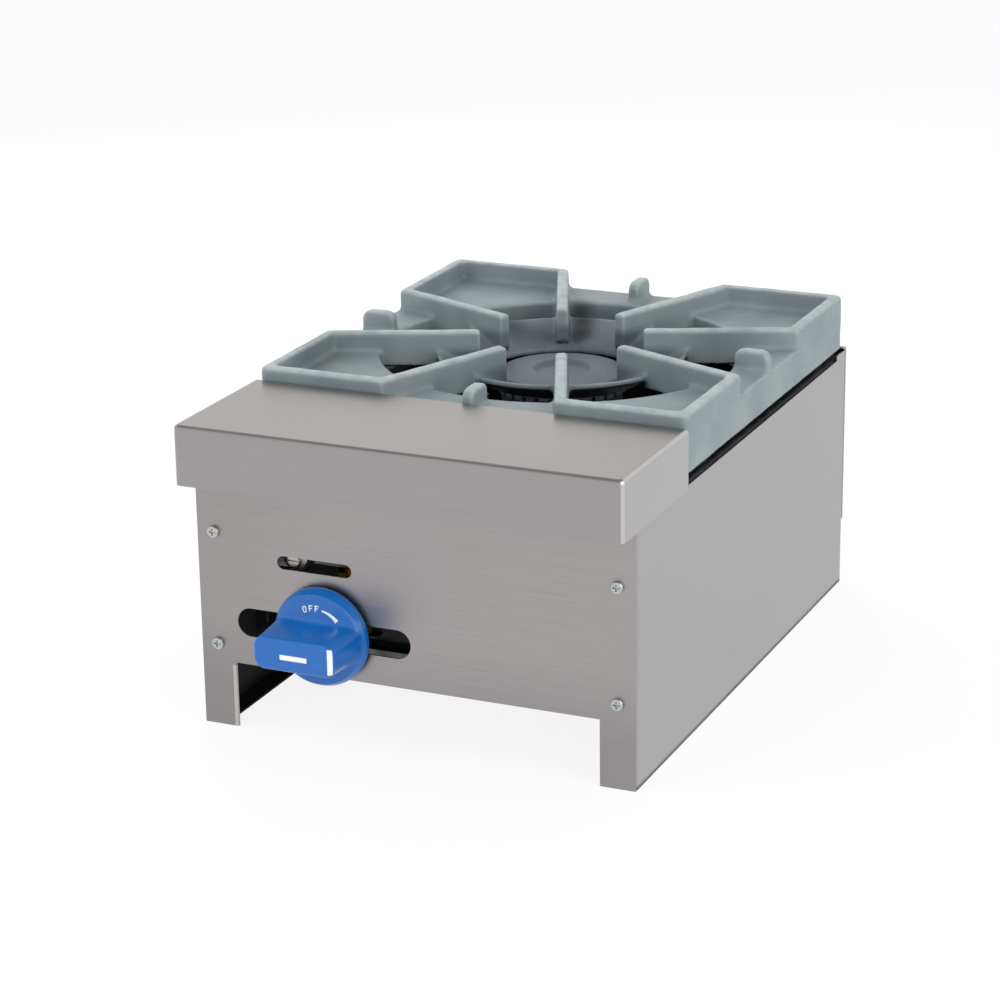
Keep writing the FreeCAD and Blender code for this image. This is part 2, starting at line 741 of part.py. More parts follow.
def top_grate():
    """Cast grate: frame with a round opening, corner rims, radial ribs, fingers, bowl ring and feet."""
    middle = vec(0, center_y, 0)
    block = grate_outline(0, grate_bottom, grate_top)
    rims = [e for e in block.Edges if e.BoundBox.ZMin > grate_top - 1e-6]
    block = block.makeFillet(grate_edge, rims)
    hole = rod_z(grate_hole_radius, 0, center_y, grate_bottom, grate_top)
    lip = rod_z(grate_hole_radius + grate_wall, 0, center_y, grate_bottom, grate_deck)
    pocket = grate_outline(grate_wall, grate_bottom, grate_deck - grate_floor).cut(lip)
    deck = block.common(grate_outline(0, grate_bottom, grate_deck)).cut([hole, pocket])
    spread = math.tan(math.radians(180 / rib_count))
    side_x = grate_half_x * spread
    side_y = grate_half_y * spread
    low_sides = [box(-side_y, side_y, grate_front_y, grate_back_y, grate_deck, grate_top),
                 box(-grate_half_x, grate_half_x, center_y - side_x, center_y + side_x,
                     grate_deck, grate_top)]
    inside = grate_outline(grate_rim, grate_bottom, grate_top)
    rim = block.cut([inside, grate_outline(0, grate_bottom, grate_deck)] + low_sides)
    reach = grate_half_x + grate_half_y
    ribs = []
    for i in range(rib_count):
        bar = rib(reach)
        bar.translate(middle)
        bar.rotate(middle, vec(0, 0, 1), 360 / rib_count * (i + 0.5))
        ribs.append(bar.common(block))
    fingers = []
    for i, half in enumerate((grate_half_x, grate_half_y, grate_half_x, grate_half_y)):
        plate = box(half - finger_length, half, -finger_width / 2, finger_width / 2, grate_deck, grate_top)
        outer = [e for e in plate.Edges if e.BoundBox.ZMin > grate_top - 1e-6 and e.BoundBox.XLength < 1e-6]
        plate = plate.makeFillet(finger_round, outer)
        plate.translate(middle)
        plate.rotate(middle, vec(0, 0, 1), 90 * i)
        fingers.append(plate)
    bowl_low = grate_deck - bowl_drop
    bowl = revolve([(bowl_hole_radius, bowl_low), (bowl_outer_radius, grate_deck - bowl_wall),
                    (bowl_outer_radius, grate_deck), (bowl_hole_radius, bowl_low + bowl_wall)])
    bowl.translate(middle)
    feet = []
    for sx in (-1, 1):
        for end in (grate_front_y + grate_foot_inset, grate_back_y - grate_foot_inset - grate_foot_length):
            outer_x = sx * (grate_half_x - grate_foot_margin)
            inner = outer_x - sx * grate_foot_width
            feet.append(box(min(outer_x, inner), max(outer_x, inner), end, end + grate_foot_length,
                            rail_top, grate_deck - grate_floor / 2).cut(hole))
    return union(deck, rim, bowl, *ribs, *fingers, *feet)


def manifold_pipe():
    """Pipe across the body behind the front panel, drilled for the two valves."""
    bore = pipe_radius - pipe_wall
    pipe = tube_x(pipe_radius, bore, manifold_y, manifold_z, manifold_left, inlet_x - elbow_bend)
    valve_hole = rod_z(neck_radius + thread_gap, valve_x, manifold_y, manifold_z - pipe_radius, manifold_z)
    spigot = pilot_valve_radius / 2
    pilot_hole = rod_y(spigot + thread_gap, pilot_x, manifold_z, manifold_y - pipe_radius, manifold_y)
    return pipe.cut([valve_hole, pilot_hole])


def manifold_end_cap():
    """Cap over the closed end of the manifold."""
    closed = manifold_left - fitting_wall
    end = manifold_left + fitting_overlap
    cap = rod_x(pipe_radius + fitting_wall, manifold_y, manifold_z, closed, end)
    return cap.cut(rod_x(pipe_radius + thread_gap, manifold_y, manifold_z, manifold_left, end))


def manifold_elbow():
    """Elbow from the manifold to the inlet pipe, with a socket at each end."""
    corner = vec(inlet_x, manifold_y, manifold_z)
    ends = [corner - vec(elbow_bend, 0, 0), corner + vec(0, elbow_bend, 0)]
    ways = [vec(-1, 0, 0), vec(0, 1, 0)]
    edges = rounded_path([ends[0], corner, ends[1]], [elbow_arc])
    outer = swept_rod(pipe_radius + elbow_wall, edges)
    bore = swept_rod(pipe_radius - pipe_wall, edges)
    sockets = [rod(pipe_radius + fitting_wall, p, p + w * fitting_overlap) for p, w in zip(ends, ways)]
    rooms = [rod(pipe_radius + thread_gap, p, p + w * fitting_overlap) for p, w in zip(ends, ways)]
    return union(outer, *sockets).cut([bore] + rooms)


def inlet_pipe():
    """Pipe from the elbow to the back, where the gas supply is screwed on."""
    start = manifold_y + elbow_bend
    end = back_y + inlet_reach
    thread = end - inlet_thread_length
    pipe = rod_y(pipe_radius, inlet_x, manifold_z, start, thread)
    threaded_end = rod_y(inlet_thread_radius, inlet_x, manifold_z, thread, end)
    bore = rod_y(pipe_radius - pipe_wall, inlet_x, manifold_z, start, end)
    return union(pipe, threaded_end).cut(bore)


def manifold_brackets():
    """Two plates that carry the manifold on the baffle, each with a tab for two screws."""
    made = []
    wall = baffle_y - sheet
    half = pipe_radius + bracket_rim
    low = manifold_z - half
    high = manifold_z + half
    for x, places in bracket_places():
        left = x - bracket_sheet / 2
        right = x + bracket_sheet / 2
        plate = box(left, right, manifold_y, wall, low, high)
        eye = rod_x(half, manifold_y, manifold_z, x - bracket_sheet / 2, x + bracket_sheet / 2)
        tab = box(left, x + bracket_tab, wall - bracket_sheet, wall, low, high)
        hole = rod_x(pipe_radius + thread_gap, manifold_y, manifold_z, x - bracket_tab, x + bracket_tab)
        made.append(union(plate, eye, tab).cut([hole] + screw_holes(places, wall - bracket_sheet, wall)))
    return made


def valve_body():
    """Brass valve body along Y: bore for the plug, neck up into the manifold, ears for the bonnet."""
    front = manifold_y - valve_front_length
    axis = [vec(valve_x, y, valve_z) for y in (front, valve_back_y - plug_rear_wall, valve_back_y)]
    ear_half = bonnet_screw_spread + valve_ear
    body = rod(valve_radius, axis[0], axis[2])
    ears = box(valve_x - ear_half, valve_x + ear_half, front, front + bonnet_screw_length + fit_gap,
               valve_z - valve_ear, valve_z + valve_ear)
    neck = rod_z(neck_radius, valve_x, manifold_y, valve_z, manifold_z - pipe_radius + pipe_wall)
    hex_top = manifold_z - pipe_radius - neck_hex_gap
    hex_foot = vec(valve_x, manifold_y, hex_top - neck_hex_height)
    hexed = hexagon(neck_hex * 2, hex_foot, hex_foot + vec(0, 0, neck_hex_height))
    bore = rod(plug_radius + run_gap, axis[0], axis[1])
    gas_in = rod_z(gas_way_radius, valve_x, manifold_y, valve_z, manifold_z)
    gas_out = rod(hood_thread_radius + thread_gap, axis[2] - vec(0, hood_thread_length, 0), axis[2])
    gas_way = rod(gas_way_radius, axis[1], axis[2])
    ear_back = front + bonnet_screw_length + fit_gap
    screw_room = bonnet_screw_radius + thread_gap
    holes = [rod_y(screw_room, x, valve_z, front, ear_back) for x in bonnet_screw_xs()]
    return union(body, ears, neck, hexed).cut([bore, gas_in, gas_out, gas_way] + holes)


def bonnet_screw_xs():
    return [valve_x - bonnet_screw_spread, valve_x + bonnet_screw_spread]


def valve_bonnet():
    """Plate over the front of the valve that keeps the plug in and guides the stem."""
    back = bonnet_front_y + bonnet_thickness
    ear_half = bonnet_screw_spread + valve_ear
    plate = round_slot(valve_x, valve_z, ear_half * 2, valve_ear * 2, bonnet_front_y, back)
    hub = rod_y(valve_radius, valve_x, valve_z, bonnet_front_y, back)
    bore = rod_y(stem_radius + run_gap, valve_x, valve_z, bonnet_front_y, back)
    holes = [rod_y(bonnet_screw_radius + screw_hole_gap, x, valve_z, bonnet_front_y, back)
             for x in bonnet_screw_xs()]
    return union(plate, hub).cut([bore] + holes)


def valve_bonnet_screws():
    length = bonnet_thickness + bonnet_screw_length
    return [pan_screw(bonnet_screw_radius, bonnet_screw_radius * 2, bonnet_screw_head, length,
                      vec(x, bonnet_front_y, valve_z), vec(0, 1, 0)) for x in bonnet_screw_xs()]


def valve_plug():
    """Turning plug with the gas way through it and a socket for the stem."""
    front = manifold_y - valve_front_length + plug_front_gap
    back = valve_back_y - plug_rear_wall - plug_front_gap
    plug = rod_y(plug_radius, valve_x, valve_z, front, back)
    across = rod_x(gas_way_radius, manifold_y, valve_z, valve_x, valve_x + plug_radius)
    along = rod_y(gas_way_radius, valve_x, valve_z, manifold_y, back)
    socket = rod_y(stem_radius + thread_gap, valve_x, valve_z, front, front + stem_radius * 2)
    return plug.cut([across, along, socket])


def valve_stem():
    """Stem from the plug through the bonnet and the panel slot into the knob, with a flat at its front."""
    back = manifold_y - valve_front_length + plug_front_gap + stem_radius * 2
    front = knob_base_y - knob_hub_depth + knob_wall
    stem = rod_y(stem_radius, valve_x, valve_z, front, back)
    flat = box(valve_x - stem_radius, valve_x + stem_radius, front, knob_base_y,
               valve_z + stem_radius - stem_flat, valve_z + stem_radius)
    return stem.cut(flat)


def orifice_hood():
    """Brass hood with the gas jet, screwed into the back of the valve."""
    seat = vec(valve_x, valve_back_y, valve_z)
    shoulder = vec(valve_x, hood_end_y - hood_tip_length, valve_z)
    tip = vec(valve_x, hood_end_y, valve_z)
    body = rod(hood_radius, seat, shoulder)
    nose = Part.makeCone(hood_radius, hood_tip_radius, hood_tip_length, shoulder, vec(0, 1, 0))
    thread = rod(hood_thread_radius, seat - vec(0, hood_thread_length, 0), seat)
    room = rod(gas_way_radius, seat - vec(0, hood_thread_length, 0), tip - vec(0, hood_wall, 0))
    jet = rod(orifice_radius, seat, tip)
    return union(body, nose, thread).cut([room, jet])


def control_knob():
    """Knob with a round skirt, a tapered grip bar across it and a hub bored for the stem."""
    shoulder = knob_radius - knob_wall
    hub_top = knob_skirt + knob_crown * (1 - knob_hub_radius / shoulder)
    skirt = revolve([(0, 0), (knob_radius, 0), (knob_radius, knob_band), (shoulder, knob_skirt),
                     (0, knob_skirt + knob_crown)])
    hollow = revolve([(knob_hub_radius, 0), (shoulder, 0), (shoulder, knob_band - knob_wall / 2),
                      (shoulder - knob_wall, knob_skirt - knob_wall),
                      (knob_hub_radius, hub_top - knob_wall)])

    def grip_ring(length, width, z):
        block = rounded_box(-length / 2, length / 2, -width / 2, width / 2, z, z + 1, grip_corner)
        return [w for w in block.Wires if w.BoundBox.ZMax < z + 1e-6][0]

    low = grip_ring(grip_length, grip_width, knob_skirt - grip_sink)
    high = grip_ring(grip_length - grip_end_taper * 2, grip_width - grip_side_taper * 2, knob_height)
    grip = Part.makeLoft([low, high], True, True)
    crown = [e for e in grip.Edges if e.BoundBox.ZMin > knob_height - 1e-6]
    grip = grip.makeFillet(grip_edge, crown)
    bore = Part.makeCylinder(stem_radius + thread_gap, knob_hub_depth)
    wide = stem_radius * 2
    flat = box(-wide, wide, stem_radius - stem_flat + thread_gap, wide, 0, knob_hub_depth)
    knob = union(skirt, grip).cut(hollow).cut(bore.cut(flat))
    knob.Placement = FreeCAD.Placement(vec(valve_x, knob_base_y, valve_z), across_x.Rotation)
    return knob


def pilot_valve_body():
    """Small brass valve on the front of the manifold, with a boss above for the pilot tube."""
    root = manifold_y - pipe_radius
    ends = (pilot_front_y, root - pilot_valve_shoulder, root + pipe_wall)
    axis = [vec(pilot_x, y, manifold_z) for y in ends]
    body = hexagon(pilot_valve_radius * 2, axis[0], axis[1])
    spigot = rod(pilot_valve_radius / 2, axis[1], axis[2])
    boss = rod_z(pilot_boss_radius, pilot_x, pilot_boss_y, manifold_z, pilot_boss_top)
    bore_end = pilot_front_y + pilot_screw_depth + fit_gap
    screw_bore = rod_y(pilot_screw_radius + run_gap, pilot_x, manifold_z, pilot_front_y, bore_end)
    gas_way = rod(pilot_bore, axis[0], axis[2])
    seat_z = pilot_boss_top - pilot_tube_seat
    seat = rod_z(pilot_tube_radius + thread_gap, pilot_x, pilot_boss_y, seat_z, pilot_boss_top)
    outlet = rod_z(pilot_bore, pilot_x, pilot_boss_y, manifold_z, pilot_boss_top)
    return union(body, spigot, boss).cut([screw_bore, gas_way, seat, outlet])


def pilot_adjusting_screw():
    """Slotted screw in the front of the pilot valve that sets the height of the pilot flame."""
    seat = vec(pilot_x, pilot_front_y - run_gap, manifold_z)
    shank = rod(pilot_screw_radius, seat, seat + vec(0, pilot_screw_depth, 0))
    head = rod(pilot_screw_head, seat - vec(0, pilot_screw_reach, 0), seat)
    front = seat.y - pilot_screw_reach
    half = pilot_screw_slot / 2
    slot = box(pilot_x - pilot_screw_head, pilot_x + pilot_screw_head, front, front + pilot_screw_reach / 2,
               manifold_z - half, manifold_z + half)
    return union(shank, head).cut(slot)


def pilot_tube():
    """Thin gas tube from the pilot valve, through the baffle, to the pilot burner."""
    end_z = pilot_base_z + pilot_tube_seat
    points = [vec(pilot_x, pilot_boss_y, pilot_boss_top - pilot_tube_seat),
              vec(pilot_x, pilot_boss_y, pilot_tube_z),
              vec(pilot_x, pilot_place_y, pilot_tube_z), vec(pilot_place_x, pilot_place_y, pilot_tube_z),
              vec(pilot_place_x, pilot_place_y, end_z)]
    edges = rounded_path(points, [pilot_tube_bend] * 3)
    return swept_rod(pilot_tube_radius, edges).cut(swept_rod(pilot_tube_radius - pilot_tube_wall, edges))


def pilot_burner():
    """Small pilot burner with its flame opening turned towards the main burner's ports."""
    top = pilot_base_z + pilot_height
    foot = vec(pilot_place_x, pilot_place_y, pilot_base_z)
    body = rod(pilot_radius, foot, vec(pilot_place_x, pilot_place_y, top))
    socket = rod(pilot_tube_radius + thread_gap, foot, foot + vec(0, 0, pilot_tube_seat))
    chamber = rod(pilot_bore, foot, vec(pilot_place_x, pilot_place_y, top - pilot_bore * 2))
    aim = vec(-pilot_place_x, center_y - pilot_place_y, 0).normalize()
    flame_hole = rod(pilot_bore, vec(pilot_place_x, pilot_place_y, top - pilot_bore * 4),
                     vec(pilot_place_x, pilot_place_y, top - pilot_bore * 4) + aim * (pilot_radius * 2))
    return body.cut([socket, chamber, flame_hole])


def pilot_bracket():
    """Strip that holds the pilot burner beside the burner head."""
    z = pilot_base_z + pilot_bracket_lift
    half = pilot_bracket_width / 2
    top = z + pilot_bracket_thickness
    strip = union(box(0, pilot_reach, -half, half, z, top), rod_z(half, pilot_reach, 0, z, top))
    strip = strip.cut([rod_z(burner_head_radius, 0, 0, z, top),
                       rod_z(pilot_radius + thread_gap, pilot_reach, 0, z, top)])
    strip.rotate(vec(0, 0, 0), vec(0, 0, 1), pilot_angle)
    strip.translate(vec(0, center_y, 0))
    return strip


def build():
    """All sub-parts by name. A group of fasteners is a list of separate solids."""
    brackets = manifold_brackets()
    ledge_screw_length = sheet * 2 + ledge_screw_tip
    wall = baffle_y - sheet
    parts = {
        "left_side_panel": mirror_x(right_side_panel()),
        "right_side_panel": right_side_panel(),
        "front_panel": front_panel(),
        "front_ledge": front_ledge(),
        "rear_panel": rear_panel(),
        "heat_baffle": heat_baffle(),
        "left_grate_rail": mirror_x(right_grate_rail()),
        "right_grate_rail": right_grate_rail(),
        "left_tray_runner": mirror_x(right_tray_runner()),
        "right_tray_runner": right_tray_runner(),
        "burner_crossbar": burner_crossbar(),
        "front_panel_screws": [sheet_screw(vec(x, front_y, z), vec(0, 1, 0), screw_length)
                               for x, z in front_screw_places()],
        "rear_panel_screws": [sheet_screw(vec(x, back_y, z), vec(0, -1, 0), screw_length)
                              for x, z in rear_screw_places()],
        "ledge_screws": [sheet_screw(vec(x, wall, z), vec(0, 1, 0), ledge_screw_length)
                         for x, z in ledge_screw_places()],
        "manifold_bracket_screws": [sheet_screw(vec(x, wall - bracket_sheet, z), vec(0, 1, 0), screw_length)
                                    for x, z in bracket_screw_places()],
        "manifold_pipe": manifold_pipe(),
        "manifold_end_cap": manifold_end_cap(),
        "manifold_elbow": manifold_elbow(),
        "inlet_pipe": inlet_pipe(),
        "left_manifold_bracket": brackets[0],
        "right_manifold_bracket": brackets[1],
        "valve_body": valve_body(),
        "valve_bonnet": valve_bonnet(),
        "valve_bonnet_screws": valve_bonnet_screws(),
        "valve_plug": valve_plug(),
        "valve_stem": valve_stem(),
        "orifice_hood": orifice_hood(),
        "control_knob": control_knob(),
        "burner_casting": burner_casting(),
        "burner_bolt": burner_bolt(),
        "burner_cap": burner_cap(),
        "air_shutter": air_shutter(),
        "pilot_valve_body": pilot_valve_body(),
        "pilot_adjusting_screw": pilot_adjusting_screw(),
        "pilot_tube": pilot_tube(),
        "pilot_burner": pilot_burner(),
        "pilot_bracket": pilot_bracket(),
        "top_grate": top_grate(),
        "drip_tray": drip_tray(),
    }
    return parts


os.makedirs("parts", exist_ok=True)
for name, shape in build().items():
    solid = Part.makeCompound(shape) if isinstance(shape, list) else shape
    solid.exportStep(f"parts/{name}.step")
    print(name, len(solid.Solids), "valid" if solid.isValid() else "NOT VALID", round(solid.Volume))
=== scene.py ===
import bpy
import json
import math
from mathutils import Matrix, Vector, noise
from mathutils.bvhtree import BVHTree


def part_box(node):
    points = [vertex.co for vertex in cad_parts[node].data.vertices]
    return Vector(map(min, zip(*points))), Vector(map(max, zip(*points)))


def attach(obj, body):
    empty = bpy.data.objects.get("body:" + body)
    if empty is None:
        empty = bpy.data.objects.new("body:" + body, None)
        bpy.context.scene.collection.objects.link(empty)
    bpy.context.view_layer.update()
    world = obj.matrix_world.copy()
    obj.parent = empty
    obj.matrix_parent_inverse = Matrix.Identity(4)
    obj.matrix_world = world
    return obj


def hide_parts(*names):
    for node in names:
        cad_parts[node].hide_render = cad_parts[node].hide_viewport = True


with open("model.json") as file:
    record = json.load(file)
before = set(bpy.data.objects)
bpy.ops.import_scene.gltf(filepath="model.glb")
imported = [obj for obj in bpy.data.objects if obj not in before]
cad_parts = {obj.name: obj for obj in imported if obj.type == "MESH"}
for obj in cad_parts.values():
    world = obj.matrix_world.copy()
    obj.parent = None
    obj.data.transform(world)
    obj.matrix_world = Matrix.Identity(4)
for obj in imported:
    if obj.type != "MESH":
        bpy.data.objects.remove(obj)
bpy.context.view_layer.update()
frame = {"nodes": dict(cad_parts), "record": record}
nodes = frame["nodes"]
scene = bpy.context.scene
mm = 0.001
noiseLow = 0.3   # most of a noise pattern lies between these two
noiseHigh = 0.7
smoothStep = 0.5  # share of the way to its neighbours' middle that a vertex goes each round
print("frame loaded:", len(nodes), "nodes")


def toLinear(hexColour):
    parts = [int(hexColour[i:i + 2], 16) / 255 for i in (1, 3, 5)]
    linear = [c / 12.92 if c <= 0.04045 else ((c + 0.055) / 1.055) ** 2.4 for c in parts]
    return linear + [1.0]


def addNode(tree, kind, inputs=None, **settings):
    node = tree.nodes.new("ShaderNode" + kind)
    for name, value in settings.items():
        setattr(node, name, value)
    for name, value in (inputs or {}).items():
        if isinstance(value, bpy.types.NodeSocket):
            tree.links.new(value, node.inputs[name])
        else:
            node.inputs[name].default_value = value
    return node


def newFinish(name):
    material = bpy.data.materials.new(name)
    material.use_nodes = True
    tree = material.node_tree
    return material, tree, tree.nodes["Principled BSDF"]


def perMetre(sizeMm):
    return 1.0 / (sizeMm * mm)  # texture scale for a pattern of that real size


# Brushed stainless sheet, ground along its length: fine parallel strokes, soft streaky reflections
stainless = {
    "light": "#A9A4A4",
    "dark": "#A09B9B",
    "bright": "#BDB8B2",
    "inside": "#0B0B0B",       # painted shade: the unpolished inner side, drawn near-black for the shade inside the body
    "strokeLength": 70.0,      # mm
    "strokeWidth": 0.6,        # real strokes are about 0.1 mm, drawn coarser so that they show
    "smudgeSize": 95.0,        # handling marks
    "roughness": (0.27, 0.40),
    "smudgeRoughness": 0.07,
    "insideRoughness": 0.8,
    "strokeDepth": 0.02,       # mm
    "strokeBump": 0.2,
    "strokeSpread": (0.32, 0.68),
    "turnsAt": 0.6,            # facing sideways by more than this, the strokes run along the depth
    "skin": [],                # axis, place and side of each polished face
    "tints": [],               # painted shade and light: axis, from, to, and the tint there: facing -1 to 1, or place in m
    "ground": None,            # painted highlight: x of an edge, width and top (mm) of the bright band along it
}


def brushedSheet(name, look):
    material, tree, shader = newFinish(name)
    place = addNode(tree, "TexCoord").outputs["Object"]
    at = addNode(tree, "SeparateXYZ", {0: place}).outputs
    longWay = perMetre(look["strokeLength"])
    fine = perMetre(look["strokeWidth"])
    strokes = []
    for scale in ((longWay, fine, fine), (fine, longWay, fine)):
        stretched = addNode(tree, "Mapping", {"Vector": place, "Scale": scale})
        grain = addNode(tree, "TexNoise", {"Vector": stretched.outputs[0], "Scale": 1.0, "Detail": 3.0})
        strokes.append(grain.outputs["Fac"])
    facing = addNode(tree, "SeparateXYZ", {0: addNode(tree, "NewGeometry").outputs["Normal"]}).outputs
    sideways = addNode(tree, "Math", {0: facing["X"]}, operation="ABSOLUTE")
    onSide = addNode(tree, "Math", {0: sideways.outputs[0], 1: look["turnsAt"]}, operation="GREATER_THAN")
    stroke = addNode(tree, "Mix", {0: onSide.outputs[0], 2: strokes[0], 3: strokes[1]}).outputs[0]
    smudge = addNode(tree, "TexNoise", {"Vector": place, "Scale": perMetre(look["smudgeSize"]),
                                        "Detail": 2.0}).outputs["Fac"]
    least, most = look["strokeSpread"]
    spread = addNode(tree, "MapRange", {0: stroke, 1: least, 2: most}).outputs[0]
    colour = addNode(tree, "Mix", {0: spread, 6: toLinear(look["dark"]), 7: toLinear(look["light"])},
                     data_type="RGBA").outputs[2]
    # Painted shade and light: the sheet is tinted by which way it faces or where it lies
    for source, axis, start, end, tint in look["tints"]:
        value = facing[axis] if source == "facing" else at[axis]
        where = addNode(tree, "MapRange", {0: value, 1: start, 2: end}).outputs[0]
        colour = addNode(tree, "Mix", {0: where, 6: colour, 7: toLinear(tint)},
                         data_type="RGBA", blend_type="MULTIPLY").outputs[2]
    # Painted highlight: a band along one edge is drawn in the bright tone
    if look["ground"]:
        edgeAt, width, top = (v * mm for v in look["ground"])
        inBand = addNode(tree, "Math", {0: at["X"], 1: edgeAt - width / 2, 2: width / 2},
                         operation="COMPARE").outputs[0]
        inLeg = addNode(tree, "Math", {0: at["Z"], 1: top}, operation="LESS_THAN").outputs[0]
        band = addNode(tree, "Math", {0: inBand, 1: inLeg}, operation="MULTIPLY").outputs[0]
        colour = addNode(tree, "Mix", {0: band, 6: colour, 7: toLinear(look["bright"])},
                         data_type="RGBA").outputs[2]
    low, high = look["roughness"]
    rough = addNode(tree, "MapRange", {0: stroke, 1: noiseLow, 2: noiseHigh, 3: low, 4: high}).outputs[0]
    rough = addNode(tree, "Math", {0: smudge, 1: look["smudgeRoughness"], 2: rough},
                    operation="MULTIPLY_ADD").outputs[0]
    shader.inputs["Metallic"].default_value = 1.0
    skin = None
    for axis, skinAt, side in look["skin"]:
        depth = at[axis]
        if side == 0:
            depth = addNode(tree, "Math", {0: depth}, operation="ABSOLUTE").outputs[0]
        test = "LESS_THAN" if side < 0 else "GREATER_THAN"
        face = addNode(tree, "Math", {0: depth, 1: skinAt}, operation=test).outputs[0]
        skin = addNode(tree, "Math", {0: face, 1: skin or 0.0}, operation="MAXIMUM").outputs[0]
    # Painted shade: away from the polished faces the sheet is drawn near-black, for the shade inside the
    # body
    if skin:
        colour = addNode(tree, "Mix", {0: skin, 6: toLinear(look["inside"]), 7: colour},
                         data_type="RGBA").outputs[2]
        rough = addNode(tree, "Mix", {0: skin, 2: look["insideRoughness"], 3: rough}).outputs[0]
        tree.links.new(skin, shader.inputs["Metallic"])
    bump = addNode(tree, "Bump", {"Height": stroke, "Strength": look["strokeBump"],
                                  "Distance": look["strokeDepth"] * mm})
    tree.links.new(colour, shader.inputs["Base Color"])
    tree.links.new(rough, shader.inputs["Roughness"])
    tree.links.new(bump.outputs[0], shader.inputs["Normal"])
    return material


# Sand-cast iron under grey stove paint: grainy skin, paint rubbed pale on edges and rib tops,
# blue-grey flame stain round the burner; soot and painted shade underneath, painted shade in creases
greyCasting = {
    "paint": "#828D8F",
    "patch": "#758186",
    "worn": "#B2BCBB",
    "stain": "#414954",
    "soot": "#121315",
    "grain": 1.1,              # mm, sand grit
    "lump": 9.0,               # mm, unevenness of the mould
    "patchSize": 38.0,
    "roughness": (0.42, 0.62),
    "grainDepth": 0.16,        # mm
    "grainBump": 0.5,
    "lumpShare": 1.5,          # weight of the lumps in the relief, to 1 for the grit
    "patchSpread": (0.38, 0.64),
    "cloudSpread": (0.3, 0.6),
    "cloudLeast": 0.55,        # share of the flame stain left where it is thinnest
    "rubbed": (216.6, 218.4),  # mm, where pans rub
    "stained": (101.0, 66.0),  # mm from the burner's axis
    "stainTop": (209.0, 203.0),
    "feet": (179.4, 178.2),    # mm, darker below: soot on the bare feet, and painted shade of the gap beside the side panels
    "edge": (0.51, 0.58),      # pointiness where the paint starts to go and is gone
    "hollow": (0.49, 0.42),    # pointiness where painted shade in creases starts and is darkest
    "under": (-0.1, -0.45),    # facing down, darkened from here to here: soot, and painted shade under the grate
    "sootShare": 0.95,
    "hollowShare": 0.5,
    # painted shadow spots: dark patches where shade falls on the bowl and the decks
    "smoke": "#20252B",
    "flares": [],              # place and radius (mm) and share of each painted shadow spot
}
burnerAxis = sum(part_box("burner_cap"), Vector()) / 2


